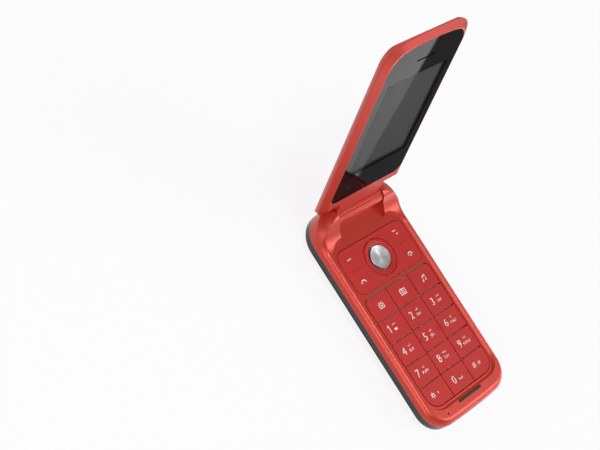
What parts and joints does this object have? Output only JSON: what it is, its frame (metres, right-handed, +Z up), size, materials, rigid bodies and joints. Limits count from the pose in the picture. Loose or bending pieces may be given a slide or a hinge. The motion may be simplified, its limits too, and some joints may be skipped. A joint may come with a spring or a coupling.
{
  "type": "flip phone",
  "caption": "Clamshell mobile phone with a hinged display lid, flush keypad, rocking navigation ring, and a rear cover and battery that come off.",
  "frame": {"origin": "middle of the flat face of the rear cover that the phone rests on", "axes": "+X to the user's right, +Y from the microphone end to the hinge, +Z up out of the keypad"},
  "size_m": [0.0524, 0.1368, 0.1077],
  "materials": {
    "red_shell": "satin metallic red lacquer",
    "red_keys": "fine matt red with white legends",
    "dark_band": "gunmetal, ribbed",
    "bumper": "soft dark red",
    "black_plastic": "fine matt",
    "grey_plastic": "moulded",
    "lens": "black printed back, glossy",
    "display": "dark panel",
    "camera_glass": "coated",
    "silicone": "translucent",
    "film": "polyester film with steel domes",
    "board": "solder resist",
    "spun_metal": "turned face",
    "steel": "stamped",
    "tin": "plated",
    "copper": "gold-plated contacts and flexible circuit",
    "battery_pack": "plain wrap",
    "light_pipe": "clear grey"
  },
  "bodies": {
    "base": {"front_case": "red_shell", "side_band": "dark_band", "chassis": "grey_plastic", "main_board": "board", "dome_sheet": "film", "key_mat": "silicone", "bumper": "bumper", "audio_jack": "black_plastic", "usb_socket": "steel", "camera_module": "black_plastic", "camera_bezel": "black_plastic", "camera_window": "camera_glass", "loudspeaker": "black_plastic", "microphone": "tin", "vibration_motor": "steel", "antenna": "black_plastic", "sim_holder_1": "steel", "sim_holder_2": "steel", "memory_card_slot": "steel", "battery_contacts": "copper", "chassis_screws": "steel", "hinge_shaft": "steel", "hinge_bush": "black_plastic"},
    "lid": {"lid_frame": "red_shell", "lid_shell": "red_shell", "display_lens": "lens", "lcd_panel": "display", "earpiece": "black_plastic", "lid_board": "board", "led_window": "light_pipe", "hinge_cam_unit": "steel", "hinge_flex": "copper", "lid_magnet": "tin"},
    "rear_cover": {"rear_cover": "red_shell"},
    "battery": {"battery": "battery_pack"},
    "function_plate": {"function_plate": "red_keys"},
    "function_plate_pad": {"function_plate_pad": "silicone"},
    "nav_ring": {"nav_ring": "red_keys"},
    "nav_ring_pad": {"nav_ring_pad": "silicone"},
    "select_button": {"select_button": "spun_metal"},
    "key_tool": {"key_tool": "red_keys"},
    "key_camera": {"key_camera": "red_keys"},
    "key_music": {"key_music": "red_keys"},
    "key_1": {"key_1": "red_keys"},
    "key_2": {"key_2": "red_keys"},
    "key_3": {"key_3": "red_keys"},
    "key_4": {"key_4": "red_keys"},
    "key_5": {"key_5": "red_keys"},
    "key_6": {"key_6": "red_keys"},
    "key_7": {"key_7": "red_keys"},
    "key_8": {"key_8": "red_keys"},
    "key_9": {"key_9": "red_keys"},
    "key_star": {"key_star": "red_keys"},
    "key_0": {"key_0": "red_keys"},
    "key_hash": {"key_hash": "red_keys"}
  },
  "joints": [
    {"name": "lid_hinge", "type": "hinge", "parent": "base", "child": "lid", "pos_m": [0, 0.0476, 0.0142], "axis": [-1, 0, 0], "range_deg": [-110, 45]},
    {"name": "cover_off", "type": "slide", "parent": "base", "child": "rear_cover", "axis": [0, 0, -1], "range_m": [0, 0.03]},
    {"name": "battery_out", "type": "slide", "parent": "base", "child": "battery", "axis": [0, 0, -1], "range_m": [0, 0.015]},
    {"name": "function_plate_rock_end", "type": "hinge", "parent": "base", "child": "function_plate_pad", "pos_m": [0, 0.02315, 0.00918], "axis": [1, 0, 0], "range_deg": [-1, 1], "stiffness_Nm_per_rad": 0.8},
    {"name": "function_plate_rock_side", "type": "hinge", "parent": "function_plate_pad", "child": "function_plate", "pos_m": [0, 0.02315, 0.0094], "axis": [0, 1, 0], "range_deg": [-1, 1], "stiffness_Nm_per_rad": 0.8},
    {"name": "nav_ring_rock_end", "type": "hinge", "parent": "base", "child": "nav_ring_pad", "pos_m": [0, 0.02315, 0.00934], "axis": [1, 0, 0], "range_deg": [-2, 2], "stiffness_Nm_per_rad": 0.2},
    {"name": "nav_ring_rock_side", "type": "hinge", "parent": "nav_ring_pad", "child": "nav_ring", "pos_m": [0, 0.02315, 0.0097], "axis": [0, 1, 0], "range_deg": [-2, 2], "stiffness_Nm_per_rad": 0.2},
    {"name": "press_select", "type": "slide", "parent": "base", "child": "select_button", "axis": [0, 0, -1], "range_m": [0, 0.0003], "stiffness_N_per_m": 2000},
    {"name": "press_key_tool", "type": "slide", "parent": "base", "child": "key_tool", "axis": [0, 0, -1], "range_m": [0, 0.00035], "stiffness_N_per_m": 2000},
    {"name": "press_key_camera", "type": "slide", "parent": "base", "child": "key_camera", "axis": [0, 0, -1], "range_m": [0, 0.00035], "stiffness_N_per_m": 2000},
    {"name": "press_key_music", "type": "slide", "parent": "base", "child": "key_music", "axis": [0, 0, -1], "range_m": [0, 0.00035], "stiffness_N_per_m": 2000},
    {"name": "press_key_1", "type": "slide", "parent": "base", "child": "key_1", "axis": [0, 0, -1], "range_m": [0, 0.00035], "stiffness_N_per_m": 2000},
    {"name": "press_key_2", "type": "slide", "parent": "base", "child": "key_2", "axis": [0, 0, -1], "range_m": [0, 0.00035], "stiffness_N_per_m": 2000},
    {"name": "press_key_3", "type": "slide", "parent": "base", "child": "key_3", "axis": [0, 0, -1], "range_m": [0, 0.00035], "stiffness_N_per_m": 2000},
    {"name": "press_key_4", "type": "slide", "parent": "base", "child": "key_4", "axis": [0, 0, -1], "range_m": [0, 0.00035], "stiffness_N_per_m": 2000},
    {"name": "press_key_5", "type": "slide", "parent": "base", "child": "key_5", "axis": [0, 0, -1], "range_m": [0, 0.00035], "stiffness_N_per_m": 2000},
    {"name": "press_key_6", "type": "slide", "parent": "base", "child": "key_6", "axis": [0, 0, -1], "range_m": [0, 0.00035], "stiffness_N_per_m": 2000},
    {"name": "press_key_7", "type": "slide", "parent": "base", "child": "key_7", "axis": [0, 0, -1], "range_m": [0, 0.00035], "stiffness_N_per_m": 2000},
    {"name": "press_key_8", "type": "slide", "parent": "base", "child": "key_8", "axis": [0, 0, -1], "range_m": [0, 0.00035], "stiffness_N_per_m": 2000},
    {"name": "press_key_9", "type": "slide", "parent": "base", "child": "key_9", "axis": [0, 0, -1], "range_m": [0, 0.00035], "stiffness_N_per_m": 2000},
    {"name": "press_key_star", "type": "slide", "parent": "base", "child": "key_star", "axis": [0, 0, -1], "range_m": [0, 0.00035], "stiffness_N_per_m": 2000},
    {"name": "press_key_0", "type": "slide", "parent": "base", "child": "key_0", "axis": [0, 0, -1], "range_m": [0, 0.00035], "stiffness_N_per_m": 2000},
    {"name": "press_key_hash", "type": "slide", "parent": "base", "child": "key_hash", "axis": [0, 0, -1], "range_m": [0, 0.00035], "stiffness_N_per_m": 2000}
  ],
  "couplings": [
    {"joint": "battery_out", "follows": "cover_off", "ratio": 0.5}
  ]
}
